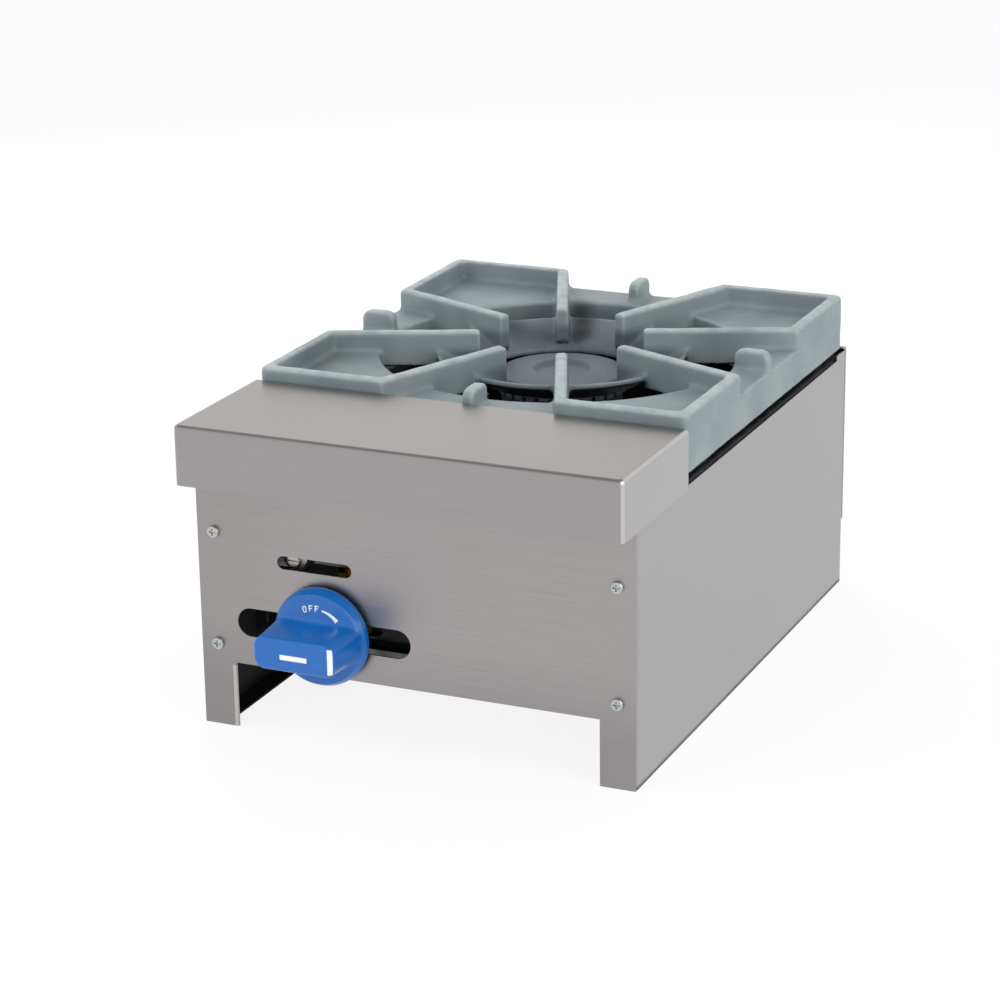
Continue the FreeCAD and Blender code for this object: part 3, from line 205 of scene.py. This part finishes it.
def castIron(name, look):
    material, tree, shader = newFinish(name)
    place = addNode(tree, "TexCoord").outputs["Object"]
    surface = addNode(tree, "NewGeometry").outputs
    height = addNode(tree, "SeparateXYZ", {0: place}).outputs["Z"]
    facing = addNode(tree, "SeparateXYZ", {0: surface["Normal"]}).outputs["Z"]
    grit, lump, patch = (addNode(tree, "TexNoise", {"Vector": place, "Scale": perMetre(look[size]),
                                                    "Detail": detail}).outputs["Fac"]
                         for size, detail in (("grain", 3.0), ("lump", 2.0), ("patchSize", 4.0)))
    start, end = look["patchSpread"]
    patchy = addNode(tree, "MapRange", {0: patch, 1: start, 2: end}).outputs[0]
    start, end = look["cloudSpread"]
    cloudy = addNode(tree, "MapRange", {0: patch, 1: start, 2: end, 3: 1.0,
                                        4: look["cloudLeast"]}).outputs[0]
    flat = addNode(tree, "Mapping", {"Vector": place, "Scale": (1, 1, 0),
                                     "Location": (-burnerAxis.x, -burnerAxis.y, 0)}).outputs[0]
    away = addNode(tree, "VectorMath", {0: flat}, operation="LENGTH").outputs["Value"]
    worn = surface["Pointiness"]
    zones = {}
    for zone, value, unit, share in (("edge", worn, 1, 1.0), ("hollow", worn, 1, look["hollowShare"]),
                                     ("under", facing, 1, look["sootShare"]), ("rubbed", height, mm, 1.0),
                                     ("stained", away, mm, 1.0), ("stainTop", height, mm, 1.0),
                                     ("feet", height, mm, look["sootShare"])):
        start, end = look[zone]
        faded = addNode(tree, "MapRange", {0: value, 1: start * unit, 2: end * unit, 4: share})
        zones[zone] = faded.outputs[0]
    near = addNode(tree, "Math", {0: zones["stained"], 1: zones["stainTop"]},
                   operation="MULTIPLY").outputs[0]
    colour = addNode(tree, "Mix", {0: patchy, 6: toLinear(look["paint"]), 7: toLinear(look["patch"])},
                     data_type="RGBA").outputs[2]
    layers = [
        # tone, where, and the pattern that breaks it up
        (look["worn"], zones["edge"], lump),
        (look["worn"], zones["rubbed"], lump),
        (look["stain"], near, cloudy),
        # Painted shade: near-black in creases, and soot with painted shade underneath and round the feet
        (look["soot"], zones["hollow"], patchy),
        (look["soot"], zones["under"], None),
        (look["soot"], zones["feet"], None),
    ]
    # Painted shadow spots, each fading out over its radius
    for x, y, z, radius, share in look["flares"]:
        off = addNode(tree, "VectorMath", {0: place, 1: Vector((x, y, z)) * mm}, operation="DISTANCE")
        flare = addNode(tree, "MapRange", {0: off.outputs["Value"], 1: radius * mm, 2: 0.0, 4: share},
                        interpolation_type="SMOOTHSTEP")
        layers.append((look["smoke"], flare.outputs[0], None))
    for tone, where, broken in layers:
        share = where
        if broken:
            share = addNode(tree, "Math", {0: where, 1: broken}, operation="MULTIPLY").outputs[0]
        colour = addNode(tree, "Mix", {0: share, 6: colour, 7: toLinear(tone)}, data_type="RGBA").outputs[2]
    low, high = look["roughness"]
    rough = addNode(tree, "MapRange", {0: grit, 1: noiseLow, 2: noiseHigh, 3: low, 4: high})
    relief = addNode(tree, "Math", {0: lump, 1: look["lumpShare"], 2: grit}, operation="MULTIPLY_ADD")
    bump = addNode(tree, "Bump", {"Height": relief.outputs[0], "Strength": look["grainBump"],
                                  "Distance": look["grainDepth"] * mm})
    tree.links.new(colour, shader.inputs["Base Color"])
    tree.links.new(rough.outputs[0], shader.inputs["Roughness"])
    tree.links.new(bump.outputs[0], shader.inputs["Normal"])
    return material


# ABS, injection moulded and glossy: even blue, faint waviness from the mould
knobAbs = {
    "blue": "#0E68BA",
    "deep": "#0A5AA6",
    "cloud": 14.0,             # mm
    "wave": 5.0,
    "waveDepth": 0.03,
    "waveBump": 0.4,
    "ior": 1.54,
    "roughness": (0.2, 0.3),
}


def mouldedAbs(name, look):
    material, tree, shader = newFinish(name)
    place = addNode(tree, "TexCoord").outputs["Object"]
    cloud = addNode(tree, "TexNoise", {"Vector": place, "Scale": perMetre(look["cloud"]), "Detail": 2.0})
    wave = addNode(tree, "TexNoise", {"Vector": place, "Scale": perMetre(look["wave"]), "Detail": 1.0})
    colour = addNode(tree, "Mix", {0: cloud.outputs["Fac"], 6: toLinear(look["blue"]),
                                   7: toLinear(look["deep"])}, data_type="RGBA")
    low, high = look["roughness"]
    rough = addNode(tree, "MapRange", {0: cloud.outputs["Fac"], 1: noiseLow, 2: noiseHigh, 3: low, 4: high})
    bump = addNode(tree, "Bump", {"Height": wave.outputs["Fac"], "Strength": look["waveBump"],
                                  "Distance": look["waveDepth"] * mm})
    shader.inputs["IOR"].default_value = look["ior"]
    tree.links.new(colour.outputs[2], shader.inputs["Base Color"])
    tree.links.new(rough.outputs[0], shader.inputs["Roughness"])
    tree.links.new(bump.outputs[0], shader.inputs["Normal"])
    return material


# Plain metals: a patchy two-tone skin, with lines left by drawing, turning or rolling
plainMetals = {
    # black pipe and bar with mill scale: dull blue-black, rubbed greyer in places
    "millScaleSteel": {"tones": ("#17181A", "#2C2E31"), "patch": 16.0,
        "line": 0.9, "rough": (0.5, 0.7), "metal": 0.6},
    # aluminium paint on pipe: matte silver grey
    "silverPaint": {"tones": ("#B2B4B4", "#9C9E9F"), "patch": 14.0,
        "line": 0.8, "rough": (0.5, 0.65), "metal": 0.15},
    # zinc-plated steel, clear passivated: bright with a faint blue and straw tint
    "zincPlatedSteel": {"tones": ("#B4B9C0", "#C4C1B4"), "patch": 6.0,
        "line": 0.5, "rough": (0.25, 0.4), "metal": 1.0},
    # turned brass: warm yellow with a little brown tarnish
    "turnedBrass": {"tones": ("#C8A55E", "#A5824A"), "patch": 9.0,
        "line": 0.4, "rough": (0.25, 0.42), "metal": 1.0},
    # hot-dip aluminised sheet, darkened partly by heat and grease and partly as painted shade of the closed
    # interior: dull grey with a faint spangle
    "aluminisedSheet": {"tones": ("#606264", "#4A4C4E"), "patch": 7.0,
        "line": 1.2, "rough": (0.4, 0.55), "metal": 1.0},
    # nickel-plated brass: pale warm silver
    "nickelPlatedBrass": {"tones": ("#BDB9B0", "#A6A29A"), "patch": 8.0,
        "line": 0.4, "rough": (0.25, 0.4), "metal": 1.0},
    # drawn aluminium tube: soft silver with lines along it
    "drawnAluminium": {"tones": ("#C3C6C8", "#AEB1B4"), "patch": 12.0,
        "line": 0.5, "rough": (0.3, 0.45), "metal": 1.0},
}
lineDepth = 0.03  # mm
lineBump = 0.3
patchLow = 0.35   # in the patch noise, the first tone is full here
patchHigh = 0.65  # and the second one here


def plainMetal(name):
    look = plainMetals[name]
    material, tree, shader = newFinish(name)
    place = addNode(tree, "TexCoord").outputs["Object"]
    patch = addNode(tree, "TexNoise", {"Vector": place, "Scale": perMetre(look["patch"]), "Detail": 4.0})
    line = addNode(tree, "TexNoise", {"Vector": place, "Scale": perMetre(look["line"]), "Detail": 2.0})
    spread = addNode(tree, "MapRange", {0: patch.outputs["Fac"], 1: patchLow, 2: patchHigh})
    first, second = (toLinear(tone) for tone in look["tones"])
    colour = addNode(tree, "Mix", {0: spread.outputs[0], 6: first, 7: second}, data_type="RGBA")
    low, high = look["rough"]
    rough = addNode(tree, "MapRange", {0: line.outputs["Fac"], 1: noiseLow, 2: noiseHigh, 3: low, 4: high})
    bump = addNode(tree, "Bump", {"Height": line.outputs["Fac"], "Strength": lineBump,
                                  "Distance": lineDepth * mm})
    shader.inputs["Metallic"].default_value = look["metal"]
    tree.links.new(colour.outputs[2], shader.inputs["Base Color"])
    tree.links.new(rough.outputs[0], shader.inputs["Roughness"])
    tree.links.new(bump.outputs[0], shader.inputs["Normal"])
    return material


# Hot-stamped foil: flat white print, slightly broken up; the same white also draws a painted highlight on
# the knob
printWhite = {"white": "#F0F1F2", "thin": "#D5DBE6", "speck": 0.7, "speckSpread": (0.5, 0.75),
              "roughness": 0.4}


def stampedFoil(name, look):
    material, tree, shader = newFinish(name)
    place = addNode(tree, "TexCoord").outputs["Object"]
    speck = addNode(tree, "TexNoise", {"Vector": place, "Scale": perMetre(look["speck"]), "Detail": 2.0})
    start, end = look["speckSpread"]
    spread = addNode(tree, "MapRange", {0: speck.outputs["Fac"], 1: start, 2: end})
    colour = addNode(tree, "Mix", {0: spread.outputs[0], 6: toLinear(look["white"]),
                                   7: toLinear(look["thin"])}, data_type="RGBA")
    shader.inputs["Roughness"].default_value = look["roughness"]
    tree.links.new(colour.outputs[2], shader.inputs["Base Color"])
    return material


faceDepth = 1.05 * mm  # from a sheet's polished face, just short of its back
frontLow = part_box("front_panel")[0]
sideLow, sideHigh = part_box("right_side_panel")
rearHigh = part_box("rear_panel")[1]
outerX = ("X", sideHigh.x - faceDepth, 0)
# Front sheet: painted highlight along the left leg's inner edge; painted shade darker towards the feet and
# the left end
frontLook = dict(stainless, skin=[("Y", frontLow.y + faceDepth, -1)], ground=(-128.0, 2.2, 43.0),
                 tints=[("place", "Z", 0.08, 0.03, "#E9E9EA"), ("place", "X", -0.05, -0.15, "#F6F6F6")])
# Side sheets: grain tones lighter and cooler than the front's, painted light from the right; a near-black
# band along the bottom edge is a painted contact shadow
sideLook = dict(stainless, light="#ABA9AB", dark="#A3A1A3",
                skin=[outerX, ("Y", sideHigh.y - faceDepth, 1), ("Y", sideLow.y + faceDepth, -1)],
                tints=[("place", "Z", 0.0035, 0.0005, "#3A3A3A")])
# Rear sheet: the sides' tones, and a painted highlight as a bright band along its right edge
rearLook = dict(stainless, light="#ABA9AB", dark="#A3A1A3", bright="#EEEDEB",
                ground=(rearHigh.x / mm, 1.1, rearHigh.z / mm),
                skin=[outerX, ("Y", rearHigh.y - faceDepth, 1), ("Z", rearHigh.z - faceDepth, 1)])
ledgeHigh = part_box("front_ledge")[1]
# Ledge: grain tones set lighter for its lit right side, tops tinted warmer and front faces darker, all
# painted light and shade; a painted highlight along its right edge
ledgeLook = dict(stainless, light="#AEACAE", dark="#A8A6A8", roughness=(0.23, 0.3), strokeDepth=0.009,
                 bright="#C0BDBA", ground=(ledgeHigh.x / mm - 0.2, 1.8, ledgeHigh.z / mm),
                 tints=[("facing", "Z", 0.5, 0.9, "#F6F1E9"), ("facing", "Y", -0.5, -0.9, "#EFEAEA")])

frontSteel = brushedSheet("brushedStainlessFront", frontLook)
sideSteel = brushedSheet("brushedStainlessSides", sideLook)
rearSteel = brushedSheet("brushedStainlessRear", rearLook)
ledgeSteel = brushedSheet("fineBrushedStainlessLedge", ledgeLook)
# Painted shadows: dark spots by the rib ends in the burner bowl, and broad soft shade on the decks
smokeMarks = [
    # x, y, z and radius (mm), and share
    (-14.0, 109.0, 197.0, 15.0, 0.9),
    (-17.5, 121.0, 203.0, 16.0, 0.9),
    (-36.5, 160.5, 197.0, 17.0, 0.7),
    (-62.0, 92.0, 200.0, 20.0, 0.75),
    (-47.0, 92.0, 196.0, 18.0, 0.35),
    (-140.0, -45.0, 203.0, 62.0, 0.36),
    (104.0, 73.0, 209.0, 50.0, 0.24),
]
castGrey = castIron("paintedCastIron", dict(greyCasting, flares=smokeMarks))
noFeet = (1.0, 0.0)
capGrey = castIron("paintedCastIronCap", dict(greyCasting, paint="#575F64", patch="#4C555B", worn="#747E81",
                                              stain="#525C62", feet=noFeet))
rawCasting = castIron("rawCastIron", dict(greyCasting, paint="#2C2E30", patch="#232527", worn="#4A4D4F",
                                          feet=noFeet))
blueAbs = mouldedAbs("mouldedBlueAbs", knobAbs)
whiteFoil = stampedFoil("hotStampedWhiteFoil", printWhite)
metals = {name: plainMetal(name) for name in plainMetals}

finishOf = {
    "front_panel": frontSteel,
    "left_side_panel": sideSteel,
    "right_side_panel": sideSteel,
    "rear_panel": rearSteel,
    "front_ledge": ledgeSteel,
    "burner_cap": capGrey,
    "burner_casting": rawCasting,
    "top_grate": castGrey,
    "control_knob": blueAbs,
    "air_shutter": metals["millScaleSteel"],
    "pilot_valve_body": metals["nickelPlatedBrass"],
    "pilot_adjusting_screw": metals["nickelPlatedBrass"],
}
finishOfSlot = {
    "black_steel": metals["millScaleSteel"],
    "silver_paint": metals["silverPaint"],
    "zinc_screws": metals["zincPlatedSteel"],
    "brass": metals["turnedBrass"],
    "aluminised_sheet": metals["aluminisedSheet"],
    "aluminium_tube": metals["drawnAluminium"],
}
slotOf = {row["node"]: row["material_slot"] for row in frame["record"]["subparts"]}
for name, node in nodes.items():
    finish = finishOf.get(name) or finishOfSlot[slotOf[name]]
    node.data.materials.clear()
    node.data.materials.append(finish)
print("finishes on", len(nodes), "nodes")


def addPiece(name, mesh, finish, body):
    piece = bpy.data.objects.new(name, mesh)
    scene.collection.objects.link(piece)
    mesh.materials.clear()
    mesh.materials.append(finish)
    for face in mesh.polygons:
        face.use_smooth = True
    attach(piece, body)
    return piece


def settled(holder, name):
    # the shape of an object with its modifiers worked in
    bpy.context.view_layer.update()
    ready = holder.evaluated_get(bpy.context.evaluated_depsgraph_get())
    mesh = bpy.data.meshes.new_from_object(ready)
    bpy.data.objects.remove(holder)
    mesh.name = name
    return mesh


def softened(node, name, voxel, rounds):
    # a copy of a solid with its sharp edges rounded, as a casting or moulding has them
    copy = bpy.data.objects.new(name, nodes[node].data.copy())
    scene.collection.objects.link(copy)
    remesh = copy.modifiers.new("voxels", "REMESH")
    remesh.mode = "VOXEL"
    remesh.voxel_size = voxel * mm
    smooth = copy.modifiers.new("smooth", "SMOOTH")
    smooth.factor = smoothStep
    smooth.iterations = rounds
    return settled(copy, name)


def relaxed(mesh, name, weights, rounds):
    # further smoothing where the weights say so
    holder = bpy.data.objects.new(name, mesh)
    scene.collection.objects.link(holder)
    group = holder.vertex_groups.new(name="weights")
    for index, weight in weights.items():
        group.add([index], weight, "REPLACE")
    smooth = holder.modifiers.new("smooth", "SMOOTH")
    smooth.vertex_group = "weights"
    smooth.factor = smoothStep
    smooth.iterations = rounds
    return settled(holder, name)


# Grate: the solid with soft, slightly uneven cast faces
grateShape = {"voxel": 1.5, "rounds": 4, "wave": 14.0, "uneven": 0.22}
grateMesh = softened("top_grate", "castGrate", grateShape["voxel"], grateShape["rounds"])
outward = [vertex.normal.copy() for vertex in grateMesh.vertices]
for vertex, way in zip(grateMesh.vertices, outward):
    swell = noise.noise(vertex.co * perMetre(grateShape["wave"])) - 1
    vertex.co += way * (swell * grateShape["uneven"] * mm)
grate = addPiece("castGrate", grateMesh, castGrey, "grate")
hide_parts("top_grate")
print("grate:", len(grateMesh.polygons), "faces")

# Burner cap: the solid with soft cast edges
capShape = {"voxel": 0.8, "rounds": 3}
capMesh = softened("burner_cap", "castCap", capShape["voxel"], capShape["rounds"])
cap = addPiece("castCap", capMesh, capGrey, "cap")
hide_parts("burner_cap")
print("cap:", len(capMesh.polygons), "faces")

# Knob: the solid with moulded edges, its grip run into the skirt with a hollow curve
knobShape = {
    "voxel": 0.55, "rounds": 8,
    "skirt": 9.0, "crown": 4.0, "shoulder": 30.4,  # mm, height of the skirt and of its cone
    "rootFoot": -0.6, "rootTop": 15.0,             # mm from the cone, ends of the hollow curve
    "rootRim": 1.5, "rootRounds": 260,
    "sink": 0.997,                                 # leaves room for the print on its front
}
knobLow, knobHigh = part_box("control_knob")
knobMiddle = (knobLow + knobHigh) / 2
knobMesh = softened("control_knob", "knobBlank", knobShape["voxel"], knobShape["rounds"])
rootWeights = {}
for vertex in knobMesh.vertices:
    out = math.hypot(vertex.co.x - knobMiddle.x, vertex.co.z - knobMiddle.z) / mm
    cone = knobShape["skirt"] + knobShape["crown"] * (1 - out / knobShape["shoulder"])
    above = (knobHigh.y - vertex.co.y) / mm - cone
    vertex.co.y = knobHigh.y - (knobHigh.y - vertex.co.y) * knobShape["sink"]
    inRoot = knobShape["rootFoot"] < above < knobShape["rootTop"]
    if inRoot and out < knobShape["shoulder"] - knobShape["rootRim"]:
        rootWeights[vertex.index] = 1.0 - max(above, 0.0) / knobShape["rootTop"]
knobMesh = relaxed(knobMesh, "mouldedKnob", rootWeights, knobShape["rootRounds"])
knob = addPiece("mouldedKnob", knobMesh, blueAbs, "control")
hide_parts("control_knob")
print("knob:", len(knobMesh.polygons), "faces")

# Knob marks: plain white print, and a painted highlight down the grip's corner, laid on the moulding
knobMarks = {
    "lift": 0.06,              # mm
    "thickness": 0.12,         # mm, so the marks sink into the moulding by half of it
    "drop": 10.0,              # mm, how far off the knob each mark starts
    "bar": (19.0, 3.4, -1.0),  # length, height, place above the middle
    "line": (3.0, 17.0, -1.6),  # painted highlight down the grip's corner: width, height, place from the front edge
    "gripEnd": 28.5,           # mm from the middle to the grip's corner
    "letterHeight": 4.2,
    "letterRadius": 19.6,
    "letters": [("O", -24.0), ("F", -11.5), ("F", -0.5)],
    "wedge": (13.0, 46.0, 21.4, 0.5, 1.3),  # from, to (degrees), radius, half width at each end
}
strokesOf = {
    # boxes in letter heights: left, foot, right, head
    "O": [(0, 0.14, 0.18, 0.86), (0.5, 0.14, 0.68, 0.86), (0.1, 0, 0.58, 0.17), (0.1, 0.83, 0.58, 1)],
    "F": [(0, 0, 0.18, 1), (0.18, 0.83, 0.62, 1), (0.18, 0.43, 0.52, 0.6)],
}
knobSurface = BVHTree.FromPolygons([v.co for v in knobMesh.vertices],
                                   [p.vertices for p in knobMesh.polygons])
markVerts = []
markFaces = []


def printed(across, along, start, way):
    # a grid of points dropped on the knob; start gives each ray's first point
    first = len(markVerts)
    for i in range(across + 1):
        for j in range(along + 1):
            hit = knobSurface.ray_cast(start(i / across, j / along), way)[0]
            markVerts.append(hit - way * knobMarks["lift"] * mm)
    for i in range(across):
        for j in range(along):
            corner = first + i * (along + 1) + j
            markFaces.append((corner, corner + along + 1, corner + along + 2, corner + 1))


def onFront(right, up):
    return knobMiddle + Vector((right, 0, up)) * mm + Vector((0, knobLow.y - knobMiddle.y - drop, 0))


def onSkirt(degrees, radius):
    turn = math.radians(degrees)
    return onFront(radius * math.sin(turn), radius * math.cos(turn))


def onCorner(along, up):
    corner = knobMiddle + Vector((gripEnd, knobLow.y - knobMiddle.y, up * mm))
    return corner + level * along * mm - slant * drop


drop = knobMarks["drop"] * mm
inward = Vector((0, 1, 0))
barLength, barHeight, barUp = knobMarks["bar"]
printed(24, 4, lambda u, v: onFront((u - 0.5) * barLength, barUp + (v - 0.5) * barHeight), inward)
# Painted highlight: a white strip down the grip's rounded right front corner, in place of a glint
lineWidth, lineHeight, lineIn = knobMarks["line"]
gripEnd = knobMarks["gripEnd"] * mm
slant = Vector((-1, 1, 0)).normalized()
level = Vector((1, 1, 0)).normalized()
printed(8, 18, lambda u, v: onCorner(lineIn + (u - 0.5) * lineWidth, (v - 0.5) * lineHeight), slant)
tall = knobMarks["letterHeight"]
base = knobMarks["letterRadius"]
degreesPerMm = math.degrees(1 / (base + tall / 2))
for letter, begin in knobMarks["letters"]:
    for left, foot, right, head in strokesOf[letter]:
        printed(3, 3, lambda u, v: onSkirt(begin + (left + u * (right - left)) * tall * degreesPerMm,
                                           base + (foot + v * (head - foot)) * tall), inward)
wedgeFrom, wedgeTo, wedgeRadius, thin, thick = knobMarks["wedge"]
printed(28, 3, lambda u, v: onSkirt(wedgeFrom + u * (wedgeTo - wedgeFrom),
                                    wedgeRadius + (v * 2 - 1) * (thin + u * (thick - thin))), inward)
markMesh = bpy.data.meshes.new("knobMarks")
markMesh.from_pydata(markVerts, [], markFaces)
marks = addPiece("knobMarks", markMesh, whiteFoil, "control")
foil = marks.modifiers.new("foil", "SOLIDIFY")
foil.thickness = knobMarks["thickness"] * mm
foil.offset = -1.0
print("knob marks:", len(markFaces), "faces")

# Inlet pipe: black pipe with a tapered pipe thread cut on its end
pipeThread = {
    "length": 20.0, "pitch": 1.814, "depth": 1.1, "taper": 1 / 32, "wall": 2.9,
    "steps": 72, "rowsPerTurn": 9,
    "fade": 3.5,                      # mm over which the thread runs out
    "flank": 1.25, "crest": 0.12,     # steepness of the groove, and how much of it the flat crest takes
    "mouth": 0.8, "mouthShare": 0.3,  # mm over which the last turn grows shallow, and the depth left there
    "sharp": 40.0,                    # degrees, bends past this stay sharp
}
pipeLow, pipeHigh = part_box("inlet_pipe")
pipeMiddle = (pipeLow + pipeHigh) / 2
pipeRadius = (pipeHigh.x - pipeLow.x) / 2 / mm
pipeEnd = pipeHigh.y / mm
threadStart = pipeEnd - pipeThread["length"]
boreRadius = pipeRadius - pipeThread["wall"]


def threadRadius(y, turn):
    along = y - threadStart
    phase = (along / pipeThread["pitch"] - turn) % 1
    groove = min(max(pipeThread["flank"] * (1 - abs(2 * phase - 1)) - pipeThread["crest"], 0), 1)
    atMouth = min((pipeEnd - y) / pipeThread["mouth"] + pipeThread["mouthShare"], 1)
    grown = min(along / pipeThread["fade"], 1) * atMouth
    return pipeRadius - along * pipeThread["taper"] - groove * grown * pipeThread["depth"]


rows = [(pipeLow.y / mm, boreRadius), (pipeLow.y / mm, pipeRadius)]
count = round(pipeThread["length"] / pipeThread["pitch"] * pipeThread["rowsPerTurn"])
rows += [(threadStart + i * pipeThread["length"] / count, None) for i in range(count + 1)]
rows += [(pipeEnd, boreRadius), (pipeLow.y / mm, boreRadius)]
steps = pipeThread["steps"]
pipeVerts = []
for y, radius in rows:
    for i in range(steps):
        turn = i / steps
        out = threadRadius(y, turn) if radius is None else radius
        pipeVerts.append((pipeMiddle.x + out * mm * math.sin(turn * math.tau), y * mm,
                          pipeMiddle.z + out * mm * math.cos(turn * math.tau)))
pipeFaces = []
for row in range(len(rows) - 1):
    for i in range(steps):
        j = (i + 1) % steps
        pipeFaces.append((row * steps + i, row * steps + j, (row + 1) * steps + j, (row + 1) * steps + i))
pipeMesh = bpy.data.meshes.new("threadedInlet")
pipeMesh.from_pydata(pipeVerts, [], pipeFaces)
inlet = addPiece("threadedInlet", pipeMesh, metals["millScaleSteel"], "hotplate")
pipeMesh.set_sharp_from_angle(angle=math.radians(pipeThread["sharp"]))
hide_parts("inlet_pipe")
print("inlet:", len(pipeFaces), "faces")

# Floor, light and camera
stage = {
    "floor": "#FAFAF9",
    "floorRoughness": 0.9,
    "floorDrop": 0.1,         # mm below the feet
    "reach": 8.0,             # m, from the middle to the floor's edge
    "glow": 0.88,             # share of the floor that is white to the camera, the rest takes the shadow
    "fill": 0.8,              # light from all round
    "ceiling": 0.42,          # dim overhead, as the bent edges mirror it
    "ceilingFrom": (0.5, 0.85),  # how far up it starts to dim, and is dimmest
    "aim": (0, 0, 0.1),       # m, where the lamps point
    "lamps": [
        # place (m), width, height, watts, mirrored by the sheets or not
        ((-1.1, -1.3, 1.3), 1.2, 1.2, 11.5, False),
        ((1.6, -0.6, 1.0), 1.5, 1.5, 16.0, True),
        ((-0.9, 1.2, 0.8), 0.8, 0.8, 13.0, False),
    ],
}
cameraFit = {
    "place": (0.7895, -1.8273, 0.7803),
    "yaw": 24.16,
    "pitch": 18.66,
    "roll": 0.82,
    "focal": 3054.87,          # pixels
    "across": 1000,            # pixels, the picture's width
}


def seenRays(tree):
    # 1 for rays from the camera, and for those mirrored or passed on to it
    path = addNode(tree, "LightPath")
    seen = path.outputs["Is Camera Ray"]
    for name in ("Is Glossy Ray", "Is Transmission Ray"):
        seen = addNode(tree, "Math", {0: seen, 1: path.outputs[name]}, operation="MAXIMUM").outputs[0]
    return seen


world = bpy.data.worlds.new("softStudio")
scene.world = world
world.use_nodes = True
sky = world.node_tree.nodes["Background"]
sky.inputs["Color"].default_value = (1, 1, 1, 1)
tree = world.node_tree
towards = addNode(tree, "SeparateXYZ", {0: addNode(tree, "TexCoord").outputs["Generated"]}).outputs["Z"]
start, end = stage["ceilingFrom"]
overhead = addNode(tree, "MapRange", {0: towards, 1: start, 2: end, 3: 1.0, 4: stage["ceiling"]})
strength = addNode(tree, "MapRange", {0: seenRays(tree), 3: stage["fill"], 4: overhead.outputs[0]})
tree.links.new(strength.outputs[0], sky.inputs["Strength"])

floorMesh = bpy.data.meshes.new("floor")
reach = stage["reach"]
floorMesh.from_pydata([(-reach, -reach, 0), (reach, -reach, 0), (reach, reach, 0), (-reach, reach, 0)],
                      [], [(0, 1, 2, 3)])
floor = bpy.data.objects.new("floor", floorMesh)
floor.location.z = -stage["floorDrop"] * mm
scene.collection.objects.link(floor)
floorPaper, tree, shader = newFinish("matteWhitePaper")
shader.inputs["Base Color"].default_value = toLinear(stage["floor"])
shader.inputs["Roughness"].default_value = stage["floorRoughness"]
white = addNode(tree, "Emission", {"Color": (1, 1, 1, 1), "Strength": 1.0})
share = addNode(tree, "Math", {0: seenRays(tree), 1: stage["glow"]}, operation="MULTIPLY")
blend = addNode(tree, "MixShader", {0: share.outputs[0], 1: shader.outputs[0], 2: white.outputs[0]})
tree.links.new(blend.outputs[0], tree.nodes["Material Output"].inputs["Surface"])
floorMesh.materials.append(floorPaper)

for index, (place, width, height, watts, mirrored) in enumerate(stage["lamps"]):
    lamp = bpy.data.lights.new(f"softbox{index}", "AREA")
    lamp.shape = "RECTANGLE"
    lamp.size = width
    lamp.size_y = height
    lamp.energy = watts
    box = bpy.data.objects.new(f"softbox{index}", lamp)
    box.location = place
    box.visible_glossy = mirrored
    box.rotation_euler = (Vector(stage["aim"]) - Vector(place)).to_track_quat("-Z", "Y").to_euler()
    scene.collection.objects.link(box)

yaw, pitch, roll = (math.radians(cameraFit[k]) for k in ("yaw", "pitch", "roll"))
forward = Vector((-math.sin(yaw) * math.cos(pitch), math.cos(yaw) * math.cos(pitch), -math.sin(pitch)))
right = Vector((math.cos(yaw), math.sin(yaw), 0))
down = forward.cross(right)
across = right * math.cos(roll) + down * math.sin(roll)
below = down * math.cos(roll) - right * math.sin(roll)
lens = bpy.data.cameras.new("camera")
lens.sensor_width = 36.0
lens.lens = cameraFit["focal"] * lens.sensor_width / cameraFit["across"]
camera = bpy.data.objects.new("camera", lens)
turned = Matrix((across, -below, -forward)).transposed().to_4x4()
camera.matrix_world = Matrix.Translation(cameraFit["place"]) @ turned
scene.collection.objects.link(camera)
scene.camera = camera
scene.view_settings.view_transform = "Standard"
print("stage and camera set")
